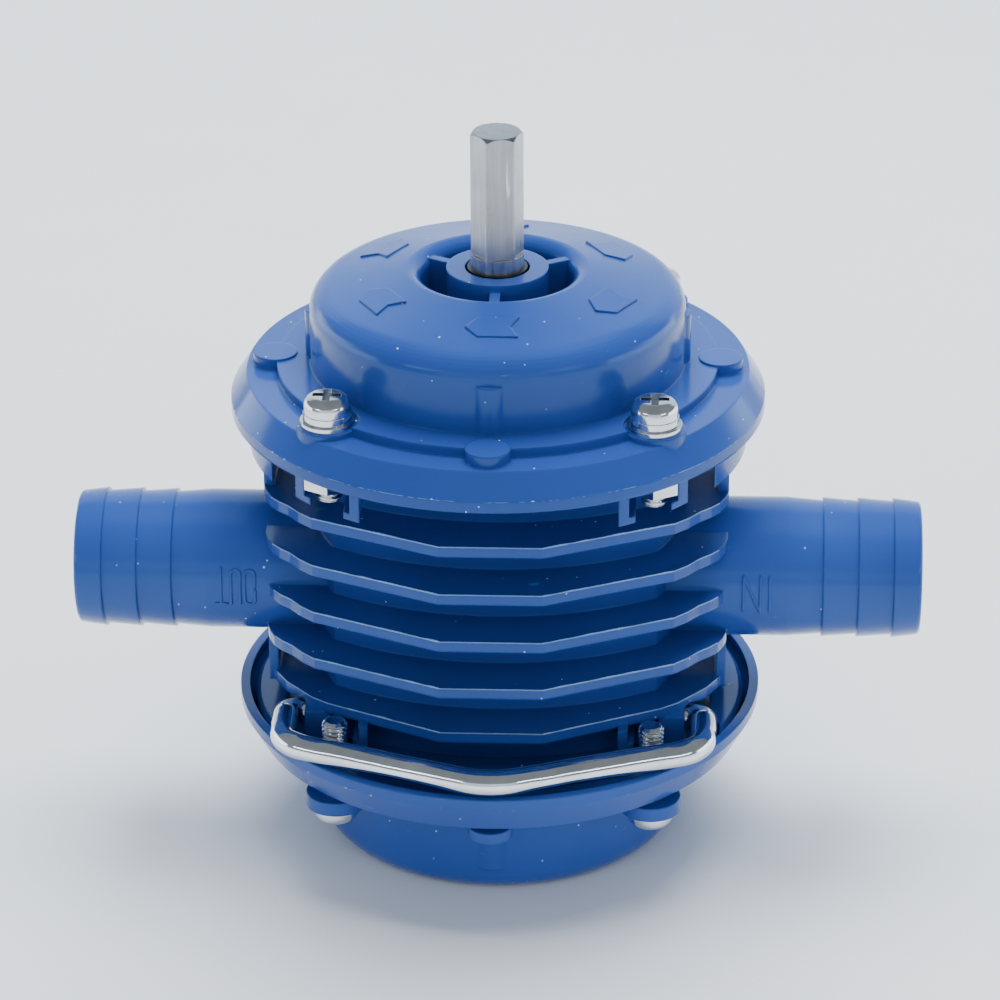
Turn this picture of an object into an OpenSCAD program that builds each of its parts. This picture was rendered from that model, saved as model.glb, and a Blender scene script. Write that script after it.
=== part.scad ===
// Hand-drill water pump: two round covers bolted to a finned body with a hose end on each
// side, a drive shaft that an electric drill turns, and a small wire bail at the front.
// The origin is the centre of the flat bottom face, on the shaft axis; +X is the inlet side.

/* [Hose ends] */
// Length over the two hose ends
span = 130; // [126:0.5:140]
// Outside diameter of a hose end
hose_d = 21.5; // [20:0.1:22]
// Bore of a hose end
hose_bore_d = 16.4; // [13:0.1:17]
// Depth of the step behind each barb
barb_step = 0.45; // [0.2:0.05:0.7]
// Distance from the end to the first step
first_barb = 4.3; // [3:0.1:5]
// Distance from one step to the next
barb_pitch = 5.4; // [4.8:0.1:6]
// Rounding of the end's rim
end_round = 0.7; // [0.4:0.1:1]

/* [Body] */
// Height of the hose axis above the body's lower face
axis_rise = 25.4; // [25.2:0.1:26.5]
// Height of the body's upper face above the hose axis
axis_to_top = 30; // [29.5:0.1:32]
// Diameter of the body's flanges
flange_d = 76.2; // [75.6:0.1:76.6]
// Thickness of the upper flange
top_flange_t = 2.5; // [2:0.1:2.8]
// Thickness of the lower flange
low_flange_t = 2.2; // [1.8:0.1:2.4]
// Depth of the barrel from front to back
barrel_depth = 40.8; // [39:0.1:42]
// Length of the barrel along the hose axis
barrel_length = 56; // [54:0.1:58]
// Radius of the barrel's curved front and back
barrel_face_r = 46.5; // [44:0.5:50]
// Thickness of the barrel's wall
body_wall = 2.2; // [1.8:0.1:2.6]

/* [Fins] */
// Thickness of a cooling fin
fin_t = 1.75; // [1.4:0.05:2]
// Distance between the fins
fin_pitch = 7.9; // [7.7:0.05:8]
// Length of a fin along the hose axis
fin_length = 70.6; // [69:0.1:71]
// Depth of a fin from front to back
fin_depth = 57.8; // [56:0.1:59]
// Thickness of the walls that join the fins' ends
fin_wall_t = 1.5; // [1.2:0.1:2]

/* [Covers] */
// Diameter of a cover's rim
rim_d = 81.1; // [80.8:0.1:82]
// Height of the upright band round a rim
rim_band = 1.7; // [1.4:0.1:2]
// Inside diameter of a rim
rim_bore_d = 78.2; // [77.6:0.1:78.6]
// Inward run of the bevel above the band
bevel_run = 2.5; // [2.2:0.1:2.8]
// Diameter of a cover's dome
dome_d = 56.8; // [56:0.1:57.4]
// Wall of a dome
dome_wall = 2.4; // [2:0.1:2.8]
// Rounding of a dome's edge
dome_round = 4; // [3:0.1:4.4]
// Thickness of the upper cover's plate
top_plate_t = 3.4; // [3:0.1:3.8]
// Height of the raised disc on the upper cover
disc_step = 1.45; // [1.2:0.05:1.7]
// Diameter of the raised disc
disc_d = 67; // [66:0.1:67.4]
// Drop of the upper rim below the cover's seat
top_rim_drop = 2.15; // [1.8:0.05:2.4]
// Height of the upper cover above its seat
top_cover_h = 19.4; // [18.8:0.1:20.5]
// Slope of the upper dome's crown in degrees
crown_slope = 12.4; // [11:0.1:14]
// Thickness of the lower cover's plate
low_plate_t = 2.5; // [2.3:0.1:3]
// Height of the lower dome below the plate
low_dome_h = 15.05; // [14.6:0.05:16]
// Rise of the lower rim above the cover's seat
low_rim_rise = 5.75; // [5.5:0.05:6]
// Height of the lower rim's bevel
low_bevel_h = 4.52; // [4.2:0.02:4.8]

/* [Drive] */
// Diameter of the drive shaft
shaft_d = 8; // [7.8:0.05:8.2]
// Distance across the flats of the drill shank
shank_af = 7.1; // [6.9:0.05:7.2]
// Height of the shaft's tip above the upper cover
shaft_rise = 21.7; // [20:0.1:26]
// Length of the six-sided shank
shank_length = 19.2; // [15:0.1:20]
// Diameter of the dark spacer sleeve round the shaft
sleeve_d = 9.1; // [8.9:0.1:9.3]
// Diameter of the hub round the sleeve
hub_d = 15.4; // [14.8:0.1:16]
// Diameter of the recess round the hub
well_d = 23; // [22.6:0.1:23.6]
// Outside diameter of the ball bearing
bearing_d = 22; // [21.6:0.1:22]
// Width of the ball bearing
bearing_w = 7; // [6.6:0.1:7]
// Diameter of a bearing ball
ball_d = 3.97; // [3.6:0.01:4]
// Diameter of the impeller
impeller_d = 38; // [34:0.5:40]
// Number of impeller vanes
vane_count = 6; // [4:1:8]

/* [Fasteners] */
// Diameter of the screws
screw_d = 4; // [3.8:0.05:4]
// Distance of each screw from the shaft axis
screw_circle_r = 34; // [33.8:0.05:34.1]
// Length of a screw under its head
screw_length = 14.3; // [13.6:0.1:15]
// Diameter of a screw's head
head_d = 7; // [6.6:0.1:7.2]
// Height of a screw's head
head_h = 2.7; // [2.4:0.1:3]
// Distance across the flats of a nut
nut_af = 7; // [6.8:0.1:7]
// Thickness of a nut
nut_t = 3.2; // [2.9:0.1:3.2]

/* [Wire bail] */
// Diameter of the bail's wire
wire_d = 4.1; // [3.8:0.05:4.2]
// Distance of each leg from the middle
leg_x = 32; // [31.6:0.1:32.2]
// Distance of the front point from the shaft axis
bail_reach = 38.9; // [38:0.1:41]
// Distance of the pivot line in front of the shaft axis
pivot_y = 15.2; // [15:0.1:15.6]

/* [Hidden] */
$fn = 96;

// Clearances: running fits, screws in holes, threads, seats and the bail at rest
run_gap = 0.05;
hole_gap = 0.1;
fit_gap = 0.01;
slot_gap = 0.05;
rest_gap = 0.08;
free_gap = 0.35;
// Overrun of the cuts
over = 0.5;

// Heights up the axis
seat_low = low_dome_h + low_plate_t;
axis_z = seat_low + axis_rise;
seat_top = axis_z + axis_to_top;
low_flange_top = seat_low + low_flange_t;
top_flange_low = seat_top - top_flange_t;
low_rim_top = seat_low + low_rim_rise;
low_band_z = low_rim_top - rim_band;
low_bevel_z = low_band_z - low_bevel_h;
flat_z = seat_top + top_plate_t;
disc_z = flat_z + disc_step;
top_rim_low = seat_top - top_rim_drop;
top_band_z = top_rim_low + rim_band;
crown_z = seat_top + top_cover_h;
tip_z = crown_z + shaft_rise;

// Radii
rim_r = rim_d / 2;
rim_in_r = rim_bore_d / 2;
bevel_r = rim_r - bevel_run;
dome_r = dome_d / 2;
disc_r = disc_d / 2;
flange_r = flange_d / 2;
shaft_r = shaft_d / 2;
hose_r = hose_d / 2;
hose_bore_r = hose_bore_d / 2;
wire_r = wire_d / 2;
well_r = well_d / 2;
bearing_r = bearing_d / 2;
screw_r = screw_d / 2;
screw_xy = screw_circle_r * cos(45);

// Lower flange and cover edge: the flange's side lies a little inside the cover's bevel
edge_wall = 1.05;
edge_clear = 0.3;
edge_tilt = atan(bevel_run / low_bevel_h);
edge_in_r = rim_r - edge_wall * cos(edge_tilt) - edge_wall * sin(edge_tilt) * tan(edge_tilt);
function edge_r(z) = edge_in_r - (low_band_z - z) * tan(edge_tilt);
ledge_h = 2.6;
ledge_top = low_flange_top + ledge_h;
ledge_bevel = 0.7;

// Draft of a hose end's root, between the fins
root_draft = 0.25;
root_clear = 0.1;

// Gaskets in grooves inside the screws
gasket_t = 0.8;
gasket_in_r = 27.6;
gasket_out_r = 30.8;

// Screw lugs and bosses on the covers
lug_r = 4.6;
top_lug_t = 0.8;
low_lug_t = 1.7;
boss_r = 3.35;
boss_place_r = 33.8;
boss_rise = 0.3;
low_boss_t = 1.3;
rib_w = 5.5;
rib_proud = 0.8;
rib_drop = 0.6;

// Washers
flat_washer_r = 4.08;
flat_washer_t = 0.8;
spring_washer_r = 3.6;
spring_washer_t = 1.2;
spring_washer_cut = 0.7;
recess_w = 1.1;
recess_l = 4.2;
recess_depth = 1.5;

// Well, hub and seats on the shaft line
well_floor_t = 2.2;
bearing_low = seat_top + gasket_t;
bearing_top = bearing_low + bearing_w;
well_floor = bearing_top + well_floor_t;
well_wall = 2.2;
hub_bore_r = sleeve_d / 2 + free_gap;
hub_rise = 0.1;
hub_top = crown_z + hub_rise;
web_t = 1.6;
web_drop = 1;
lip_r = 2.2;
arrow_ring_r = 19.7;
arrow_l = 8;
arrow_w = 5;
arrow_h = 0.2;

// Nut pockets under the upper flange and the hooks under the lowest fin
pocket_t = 1.5;
pocket_front_r = 37.5;
pocket_drop = 5.5;
foot_w = 0.95;
foot_t = 1.1;
hook_drop = 3.25;
hook_front = 0.5;
block_x = 33;
block_r = 37.9;

// Inner passages of the body
elbow_r = 12;
eye_r = 9.5;
elbow_h = 34.25;
elbow_roof = 2.2;
bush_r = 6;
bush_h = 6;
bush_wall = 2.5;
seal_h = 6.5;
seal_floor = 1.5;
seal_hole_r = 8;
seal_wall = 2.2;
port_r = 2.5;
port_ring_r = 22.3;
port_spread = 28;

// Impeller end of the shaft
stub_r = 3;
shaft_foot = 3.4;
end_nut_af = 8;
end_nut_low = 4;
end_nut_h = 3;
end_washer_t = 0.8;
end_washer_r = 5.6;
impeller_low = end_nut_low + end_nut_h + end_washer_t;
impeller_disc_t = 1.8;
impeller_hub_r = 6;
plate_gap = 0.9;
vane_t = 1.5;
vane_sweep = 55;
pin_r = 1;
pin_reach = 5.2;
pin_below = 3;

// Bail: bends and the tilt that takes the legs down to the pivot
skin = 0.02;
wire_sides = 20;
front_bend_r = 12;
front_angle = 21;
corner_bend_r = 5.5;
dip_bend_r = 3;
dip_angle = 15;
dip_length = 1;
pin_bend_r = 2.6;
bail_pin_end = 25.6;
ear_in = 25.1;
ear_out = 29.1;
ear_front = 3.8;
ear_back = 3.6;
bail_relief = 0.4;
bail_z = low_rim_top + wire_r + rest_gap;
pivot_z = bail_z - dip_bend_r * (1 - cos(dip_angle)) - (dip_length + pin_bend_r) * sin(dip_angle);

// Places worked out from the sizes above
crown_edge_z = crown_z - dome_round * cos(crown_slope)
    - (dome_r - dome_round - well_r - lip_r + dome_round * sin(crown_slope)) * tan(crown_slope);
low_hook_r = 31.5;
hook_reach = 12;
block_in = 6;
bush_low = seat_low + elbow_h + elbow_roof;
seal_low = seat_top - seal_h;
impeller_top = seat_low - gasket_t - plate_gap;
pin_z = impeller_top - pin_below;
shank_turn = 11;
tip_chamfer = 0.45;
ring_groove_r = 3.6;
ring_proud = 1.4;
ball_count = 7;
ball_ring_r = (shaft_r + bearing_r) / 2;
race_gap = 1.1;
shield_in = 0.3;
shield_t = 0.3;
seal_lip = 1.2;
seal_lip_share = 0.45;
seal_neck_share = 0.7;
seal_spring_x = 6.6;
spring_r = 0.6;
head_side_share = 0.4;
lug_z = flat_z + top_lug_t;
head_z = lug_z + flat_washer_t + spring_washer_t;

// Outline of a fin, as shares of half its length and half its depth
fin_outline_shares = [[0.221, 1], [0.771, 0.689], [0.83, 0.62], [0.878, 0.543],
    [0.925, 0.49], [0.963, 0.433], [0.988, 0.36], [1, 0.294]];
end_share = fin_outline_shares[len(fin_outline_shares) - 1][1];
low_fin_outline_shares = [[0.221, 0.976], [0.632, 0.727], [0.72, 0.672], [0.793, 0.606],
    [0.918, 0.426], [0.969, 0.311], [0.992, 0.225], [1, 0.104]];

// Points of an arc in a profile
function arc(x, y, r, from, to, steps = 8) =
    [for (i = [0:steps]) let (a = from + (to - from) * i / steps) [x + r * cos(a), y + r * sin(a)]];

// The four screw places
module at_screws() for (a = [45:90:315]) rotate([0, 0, a]) translate([screw_circle_r, 0, 0])
    rotate([0, 0, -a]) children();

// The four boss places
module at_bosses() for (a = [0:90:270]) rotate([0, 0, a]) translate([boss_place_r, 0, 0]) children();

module ring(out_r, in_r, h) difference() {
    cylinder(r = out_r, h = h);
    translate([0, 0, -over]) cylinder(r = in_r, h = h + 2 * over);
}

// Barrel plan: two wide curved faces with rounder ends, drawn inside by a margin
module barrel(margin, h) intersection() {
    shift = barrel_face_r - barrel_depth / 2;
    translate([0, shift, 0]) cylinder(r = barrel_face_r - margin, h = h);
    translate([0, -shift, 0]) cylinder(r = barrel_face_r - margin, h = h);
    cylinder(r = barrel_length / 2 - margin, h = h);
}

module fin(shares) {
    half_l = fin_length / 2;
    half_d = fin_depth / 2;
    quarter = [for (s = shares) [s[0] * half_l, -s[1] * half_d]];
    n = len(quarter) - 1;
    points = concat(quarter, [for (i = [n:-1:0]) [quarter[i][0], -quarter[i][1]]],
        [for (p = quarter) [-p[0], -p[1]]], [for (i = [n:-1:0]) [-quarter[i][0], quarter[i][1]]]);
    linear_extrude(fin_t) polygon(points);
}

function fin_z(i) = axis_z + i * fin_pitch - fin_t / 2;

// Hose end along +X from the shaft axis: plain to the barbs, which climb towards the body
module hose_end() {
    half = span / 2;
    low_r = hose_r - barb_step;
    last = half - first_barb - 3 * barb_pitch;
    rotate([0, 90, 0]) rotate_extrude() polygon(concat(
        [[0, 0], [hose_r + root_draft, 0], [hose_r, fin_length / 2 + root_clear], [hose_r, last],
        [low_r, last + barb_pitch], [hose_r, last + barb_pitch],
        [low_r, last + 2 * barb_pitch], [hose_r, last + 2 * barb_pitch],
        [low_r, last + 3 * barb_pitch], [hose_r, last + 3 * barb_pitch]],
        arc(low_r - end_round, half - end_round, end_round, 0, 90, 4), [[0, half]]));
}

// Walls between two fins, or a fin and a flange, at both ends of the body
module end_walls(from_z, to_z) for (side = [-1, 1])
    translate([side * (fin_length - fin_wall_t) / 2, 0, (from_z + to_z) / 2])
        cube([fin_wall_t, fin_depth * end_share, to_z - from_z], center = true);

// Plates either side of each screw, parallel to the sides, with feet turned towards the screw
module hooks(low, top, front_r, foot) for (sx = [-1, 1], side = [-1, 1]) {
    inner = nut_af / 2 + slot_gap;
    plate_x = sx * screw_xy + side * (inner + pocket_t / 2);
    foot_x = sx * screw_xy + side * (inner + pocket_t / 2 - foot_w / 2);
    intersection() {
        translate([0, 0, low]) cylinder(r = front_r, h = top - low);
        for (sy = [-1, 1]) translate([0, sy * screw_xy, 0]) union() {
            translate([plate_x, 0, (low + top) / 2])
                cube([pocket_t, 2 * hook_reach, top - low], center = true);
            translate([foot_x, 0, low + foot / 2])
                cube([pocket_t + foot_w, 2 * hook_reach, foot], center = true);
        }
    }
}

// Solid blocks between the hooks and the hose ends
module end_block(r, low, h) intersection() {
    translate([0, 0, low]) cylinder(r = r, h = h);
    for (side = [-1, 1]) translate([side * (block_x + block_in), 0, low + h / 2])
        cube([2 * block_in, 2 * r, 2 * h], center = true);
}

module low_flange() rotate_extrude() polygon([[0, seat_low], [edge_r(seat_low) - edge_clear, seat_low],
    [edge_r(low_flange_top) - edge_clear, low_flange_top], [0, low_flange_top]]);

module low_ledge() intersection() {
    rotate_extrude() polygon([[0, low_flange_top - over],
        [edge_r(low_flange_top - over) - edge_clear, low_flange_top - over],
        [flange_r, ledge_top - ledge_bevel - ledge_bevel], [flange_r, ledge_top - ledge_bevel],
        [flange_r - ledge_bevel, ledge_top], [0, ledge_top]]);
    for (side = [-1, 1]) translate([side * (block_x + block_in), 0, low_flange_top])
        cube([2 * block_in, 2 * flange_r, 4 * ledge_h], center = true);
}

// Bored ears that carry the bail's ends, in front of the barrel under the lowest fin
module ears() for (side = [-1, 1])
    translate([side * (ear_in + ear_out) / 2, -pivot_y + (ear_back - ear_front) / 2,
        (low_flange_top - over + fin_z(-2)) / 2])
        cube([ear_out - ear_in, ear_front + ear_back, fin_z(-2) - low_flange_top + over],
            center = true);

module body_outer() {
    translate([0, 0, seat_low]) barrel(0, seat_top - seat_low);
    translate([0, 0, top_flange_low]) cylinder(r = flange_r, h = top_flange_t);
    low_flange();
    for (i = [-1:2]) translate([0, 0, fin_z(i)]) fin(fin_outline_shares);
    translate([0, 0, fin_z(-2)]) fin(low_fin_outline_shares);
    end_walls(fin_z(2), top_flange_low + over);
    end_walls(fin_z(-2), fin_z(-1) + fin_t);
    translate([0, 0, axis_z]) for (side = [0, 180]) rotate([0, 0, side]) hose_end();
    hooks(top_flange_low - pocket_drop, top_flange_low + over, pocket_front_r, foot_t);
    hooks(fin_z(-2) - hook_drop, fin_z(-2) + over, low_hook_r, foot_t);
    end_block(block_r, top_flange_low - pocket_drop, pocket_drop + over);
    low_ledge();
    ears();
}

// The chamber inside the barrel, below the deck
module chamber() translate([0, 0, low_flange_top])
    barrel(body_wall, top_flange_low - low_flange_top);

// Suction elbow from the inlet down to the impeller's eye, bush boss and seal housing
module inner_walls() {
    translate([0, 0, seat_low]) cylinder(r = elbow_r, h = elbow_h + elbow_roof);
    translate([0, 0, axis_z]) rotate([0, 90, 0]) cylinder(r = hose_r, h = barrel_length / 2 - over);
    translate([0, 0, bush_low - fit_gap]) cylinder(r = bush_r + bush_wall, h = bush_h);
    translate([0, 0, seal_low - seal_floor])
        cylinder(r = bearing_r + seal_wall, h = seat_top - seal_low + seal_floor);
}

module pump_body() color("royalblue") difference() {
    union() {
        difference() {
            body_outer();
            chamber();
        }
        inner_walls();
    }
    // Water ways
    translate([0, 0, axis_z]) rotate([0, 90, 0]) cylinder(r = hose_bore_r, h = span);
    translate([-span, 0, axis_z]) rotate([0, 90, 0])
        cylinder(r = hose_bore_r, h = span - barrel_length / 2 + 2 * body_wall);
    translate([0, 0, seat_low - over]) cylinder(r = eye_r, h = elbow_h + over);
    for (a = [-port_spread, 0, port_spread]) rotate([0, 0, 180 + a])
        translate([port_ring_r, 0, seat_low - over]) cylinder(r = port_r, h = low_flange_t + 2 * over);
    // Seats of the bush and the seal, and the shaft's way through the deck
    translate([0, 0, seat_low]) cylinder(r = shaft_r + free_gap, h = seat_top - seat_low);
    translate([0, 0, bush_low]) cylinder(r = bush_r + fit_gap, h = bush_h + over);
    translate([0, 0, seal_low]) cylinder(r = bearing_r + fit_gap, h = seal_h + over);
    translate([0, 0, seal_low - seal_floor - over]) cylinder(r = seal_hole_r, h = seal_floor + 2 * over);
    // Screw holes in both flanges
    at_screws() {
        translate([0, 0, top_flange_low - over])
            cylinder(r = screw_r + hole_gap, h = top_flange_t + 2 * over);
        translate([0, 0, seat_low - over])
            cylinder(r = screw_r + hole_gap, h = low_flange_t + 2 * over);
    }
    // Bail pivot bores, and room for the legs under the lowest fin and beside the ledge
    for (side = [-1, 1]) translate([side * ear_in, -pivot_y, pivot_z]) rotate([0, side * 90, 0]) {
        translate([0, 0, -over]) cylinder(r = wire_r + run_gap, h = ear_out - ear_in + 2 * over);
        translate([0, 0, ear_out - ear_in]) cylinder(r = wire_r + bail_relief,
            h = fin_length / 2 - ear_out + over);
    }
    for (side = [-1, 1]) translate([side * leg_x, -pivot_y - wire_d, low_flange_top + ledge_h])
        cube([wire_d + 2 * bail_relief, 3 * wire_d, 2 * ledge_h - 2 * over], center = true);
}

// Bevelled rim, plate, raised disc and lugs of the upper cover, with its dome, well and hub
module top_cover() color("royalblue") difference() {
    union() {
        rotate_extrude() polygon(concat(
            [[well_r + well_wall, seat_top], [gasket_in_r - over, seat_top], [rim_in_r, seat_top],
            [rim_in_r, top_rim_low], [rim_r, top_rim_low], [rim_r, top_band_z], [bevel_r, flat_z],
            [disc_r, flat_z], [disc_r, disc_z], [dome_r, disc_z]],
            arc(dome_r - dome_round, crown_edge_z, dome_round, 0, 90 - crown_slope, 8),
            arc(well_r + lip_r, crown_z - lip_r, lip_r, 90, 180, 6), [[well_r, seat_top]]));
        translate([0, 0, bearing_low]) cylinder(r = well_r + over, h = well_floor - bearing_low);
        translate([0, 0, bearing_top]) cylinder(r = hub_d / 2, h = hub_top - bearing_top);
        for (a = [30, 150, 270]) rotate([0, 0, a]) translate([0, -web_t / 2, bearing_top])
            cube([well_r + over, web_t, hub_top - web_drop - bearing_top]);
        at_screws() translate([0, 0, seat_top]) cylinder(r = lug_r, h = top_plate_t + top_lug_t);
        at_bosses() {
            translate([0, 0, seat_top]) cylinder(r = boss_r, h = disc_z + boss_rise - seat_top);
            translate([dome_r - boss_place_r + rib_proud - rib_w / 2, 0, flat_z - over])
                cylinder(r = rib_w / 2, h = crown_edge_z - rib_drop - flat_z + over);
        }
        for (a = [30:60:330]) rotate([0, 0, a]) translate([well_r + lip_r, 0, crown_z])
            rotate([0, crown_slope, 0])
                translate([(arrow_ring_r - well_r - lip_r) / cos(crown_slope), 0, arrow_h - dome_wall])
                    arrow(dome_wall);
    }
    // Hollow of the dome round the bearing seat
    rotate_extrude() polygon(concat([[well_r + well_wall, seat_top - over],
        [dome_r - dome_wall, seat_top - over]],
        arc(dome_r - dome_round, crown_edge_z, dome_round - dome_wall, 0, 90 - crown_slope, 4),
        [[well_r + well_wall, crown_z - dome_wall]]));
    translate([0, 0, seat_top - over]) cylinder(r = bearing_r + fit_gap, h = bearing_top - seat_top + over);
    translate([0, 0, bearing_top - over]) cylinder(r = hub_bore_r, h = hub_top - bearing_top + 2 * over);
    translate([0, 0, seat_top - over]) ring(gasket_out_r + fit_gap, gasket_in_r - fit_gap, gasket_t + over);
    at_screws() {
        translate([0, 0, seat_top - over])
            cylinder(r = screw_r + hole_gap, h = top_plate_t + top_lug_t + 2 * over);
        translate([0, 0, lug_z]) cylinder(r = lug_r, h = disc_step + over);
    }
}

// Raised arrow on the crown, pointing clockwise round the shaft seen from above
module arrow(h) linear_extrude(h) polygon([[-arrow_w / 2, arrow_l / 2], [0, arrow_l / 2 - arrow_w / 4],
    [arrow_w / 2, arrow_l / 2], [arrow_w / 2, -arrow_l / 4], [0, -arrow_l / 2], [-arrow_w / 2, -arrow_l / 4]]);

module bottom_cover() color("royalblue") difference() {
    union() {
        rotate_extrude() polygon(concat([[0, 0]],
            arc(dome_r - dome_round, dome_round, dome_round, -90, 0, 8),
            [[dome_r, low_dome_h], [disc_r, low_dome_h],
            [bevel_r, low_bevel_z], [rim_r, low_band_z], [rim_r, low_rim_top], [rim_in_r, low_rim_top],
            [rim_in_r, low_band_z + over], [edge_r(low_band_z), low_band_z],
            [edge_r(seat_low), seat_low], [0, seat_low]]));
        at_screws() translate([0, 0, low_dome_h - low_lug_t]) cylinder(r = lug_r, h = low_lug_t + over);
        at_bosses() translate([0, 0, low_dome_h - low_boss_t]) cylinder(r = boss_r, h = low_boss_t + over);
        at_bosses() translate([dome_r - boss_place_r + rib_proud - rib_w / 2, 0, dome_round + rib_drop])
            cylinder(r = rib_w / 2, h = low_dome_h - dome_round - rib_drop + over);
    }
    // Impeller chamber
    rotate_extrude() polygon(concat([[0, dome_wall]],
        arc(dome_r - dome_round, dome_round, dome_round - dome_wall, -90, 0, 4),
        [[dome_r - dome_wall, seat_low + over], [0, seat_low + over]]));
    translate([0, 0, seat_low - gasket_t]) cylinder(r = gasket_out_r + fit_gap, h = gasket_t + over);
    at_screws() translate([0, 0, low_dome_h - low_lug_t - over])
        cylinder(r = screw_r + hole_gap, h = low_plate_t + low_lug_t + 2 * over);
}

module top_gasket() color("black") translate([0, 0, seat_top]) ring(gasket_out_r, gasket_in_r, gasket_t);

module bottom_gasket() color("black") translate([0, 0, seat_low - gasket_t])
    ring(gasket_out_r, gasket_in_r, gasket_t);

module wear_plate() color("silver") translate([0, 0, seat_low - gasket_t]) difference() {
    cylinder(r = gasket_in_r - slot_gap, h = gasket_t);
    translate([0, 0, -over]) cylinder(r = eye_r, h = gasket_t + 2 * over);
    for (a = [-port_spread, 0, port_spread]) rotate([0, 0, 180 + a])
        translate([port_ring_r, 0, -over]) cylinder(r = port_r, h = gasket_t + 2 * over);
}

// Round bar with a six-sided, chamfered shank at the top and a thinner stub at the foot
module drive_shaft() color("silver") difference() {
    union() {
        translate([0, 0, shaft_foot]) cylinder(r = stub_r, h = impeller_top - shaft_foot + over);
        translate([0, 0, impeller_top]) cylinder(r = shaft_r, h = tip_z - impeller_top - shank_length);
        intersection() {
            translate([0, 0, tip_z - shank_length]) rotate([0, 0, shank_turn])
                cylinder(r = shank_af / sqrt(3), h = shank_length, $fn = 6);
            translate([0, 0, tip_z - shank_length - over]) cylinder(r = shaft_r, h = shank_length);
        }
        translate([0, 0, tip_z - over]) intersection() {
            rotate([0, 0, shank_turn]) cylinder(r = shank_af / sqrt(3), h = over, $fn = 6);
            cylinder(r1 = shaft_r, r2 = shaft_r - tip_chamfer, h = over);
        }
    }
    translate([0, 0, bearing_low - gasket_t]) ring(shaft_r + over, ring_groove_r, gasket_t);
    translate([0, 0, pin_z]) rotate([90, 0, 0]) cylinder(r = pin_r + fit_gap, h = 4 * stub_r, center = true);
}

module spacer_sleeve() color("dimgray") translate([0, 0, bearing_top])
    ring(sleeve_d / 2, shaft_r + fit_gap, hub_top - bearing_top + hub_rise);

// Rings with ball grooves, and the balls between them
module bearing_outer_ring() color("silver") translate([0, 0, bearing_low]) rotate_extrude() difference() {
    translate([ball_ring_r + race_gap, 0]) square([bearing_r - ball_ring_r - race_gap, bearing_w]);
    translate([ball_ring_r, bearing_w / 2]) circle(r = ball_d / 2 + run_gap);
}

module bearing_inner_ring() color("silver") translate([0, 0, bearing_low]) rotate_extrude() difference() {
    translate([shaft_r + fit_gap, 0]) square([ball_ring_r - race_gap - shaft_r - fit_gap, bearing_w]);
    translate([ball_ring_r, bearing_w / 2]) circle(r = ball_d / 2 + run_gap);
}

module bearing_balls() color("silver") for (i = [0:ball_count - 1]) rotate([0, 0, i * 360 / ball_count])
    translate([ball_ring_r, 0, bearing_low + bearing_w / 2]) sphere(d = ball_d);

module bearing_shields() color("silver") for (z = [shield_in, bearing_w - shield_in - shield_t])
    translate([0, 0, bearing_low + z])
        ring(ball_ring_r + race_gap - fit_gap, ball_ring_r - race_gap + free_gap / 2, shield_t);

module shaft_seal() color("black") translate([0, 0, seal_low]) rotate_extrude() difference() {
    polygon([[shaft_r + run_gap, seal_h * seal_lip_share], [shaft_r + seal_lip, 0], [bearing_r, 0],
        [bearing_r, seal_h], [shaft_r + seal_lip + spring_r, seal_h], [shaft_r + seal_lip, seal_h * seal_neck_share]]);
    translate([seal_spring_x, seal_h * seal_lip_share]) circle(r = spring_r + fit_gap);
}

module seal_spring() color("silver") translate([0, 0, seal_low + seal_h * seal_lip_share])
    rotate_extrude() translate([seal_spring_x, 0]) circle(r = spring_r);

module retaining_ring() color("silver") translate([0, 0, bearing_low - gasket_t + fit_gap])
    difference() {
        ring(shaft_r + ring_proud, ring_groove_r + fit_gap, gasket_t - 2 * fit_gap);
        translate([0, -over, -over]) cube([shaft_d, 2 * over, gasket_t + 2 * over]);
    }

module lower_bush() color("peru") translate([0, 0, bush_low])
    ring(bush_r, shaft_r + run_gap, bush_h);

// Disc with swept vanes and a hub on the shaft's stub
module impeller() color("white") difference() {
    union() {
        translate([0, 0, impeller_low]) cylinder(r = impeller_d / 2, h = impeller_disc_t);
        translate([0, 0, impeller_low]) cylinder(r = impeller_hub_r, h = impeller_top - impeller_low);
        intersection() {
            translate([0, 0, impeller_low]) cylinder(r = impeller_d / 2, h = impeller_top - impeller_low);
            for (i = [0:vane_count - 1]) rotate([0, 0, i * 360 / vane_count])
                translate([0, -impeller_d / 4, impeller_low])
                    ring(impeller_d / 4 + vane_t / 2, impeller_d / 4 - vane_t / 2,
                        impeller_top - impeller_low - plate_gap / 2);
        }
    }
    translate([0, 0, impeller_low - over])
        cylinder(r = stub_r + fit_gap, h = impeller_top - impeller_low + 2 * over);
    translate([0, 0, pin_z]) rotate([90, 0, 0]) cylinder(r = pin_r + fit_gap, h = impeller_d, center = true);
}

module drive_pin() color("silver") translate([0, 0, pin_z]) rotate([90, 0, 0])
    cylinder(r = pin_r, h = 2 * pin_reach, center = true);

module impeller_washer() color("silver") translate([0, 0, impeller_low - end_washer_t])
    ring(end_washer_r, stub_r + fit_gap, end_washer_t);

module impeller_nut() color("silver") translate([0, 0, end_nut_low]) difference() {
    cylinder(r = end_nut_af / sqrt(3), h = end_nut_h, $fn = 6);
    translate([0, 0, -over]) cylinder(r = stub_r + fit_gap, h = end_nut_h + 2 * over);
}

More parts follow.
